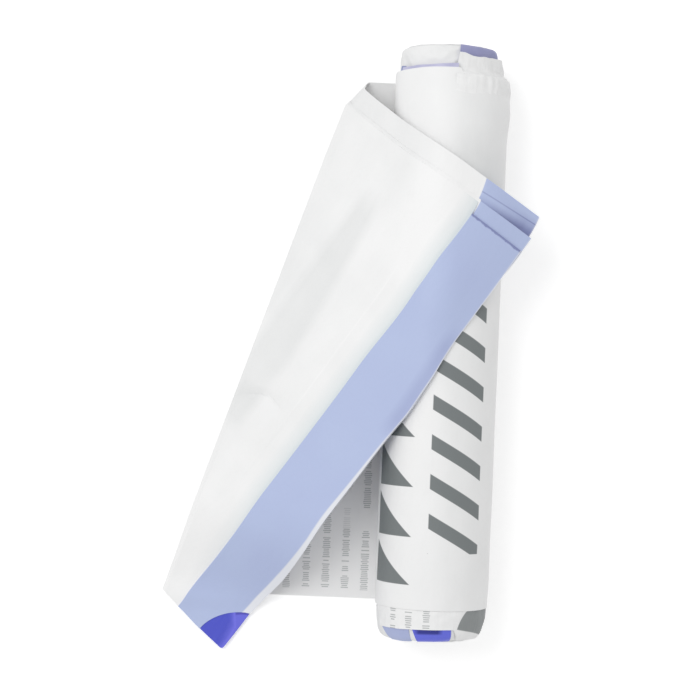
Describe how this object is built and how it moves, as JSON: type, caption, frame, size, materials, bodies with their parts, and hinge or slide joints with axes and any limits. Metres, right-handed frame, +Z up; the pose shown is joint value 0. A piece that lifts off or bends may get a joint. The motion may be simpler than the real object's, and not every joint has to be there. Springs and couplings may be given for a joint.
{
  "type": "roll of drawstring bin bags",
  "caption": "Coreless roll of folded white drawstring bin bags lying on its side, with the outer bag folded back over it to show its hem and tape.",
  "frame": {"origin": "on the floor under the axis of the roll, at the middle of its length", "axes": "+Y along the axis of the roll, +Z up, the pulled off bag lies towards -X"},
  "size_m": [0.1788, 0.2987, 0.0571],
  "materials": {
    "wound_film": "white translucent film, wound tight, soft sheen",
    "bag_film": "white translucent film folded in four plies, soft sheen",
    "drawstring_tape": "saturated blue tape, satin"
  },
  "bodies": {
    "root": {"wound_bags": "wound_film", "outer_bag": "bag_film", "outer_drawstring": "drawstring_tape", "inner_drawstring": "drawstring_tape"}
  },
  "joints": []
}
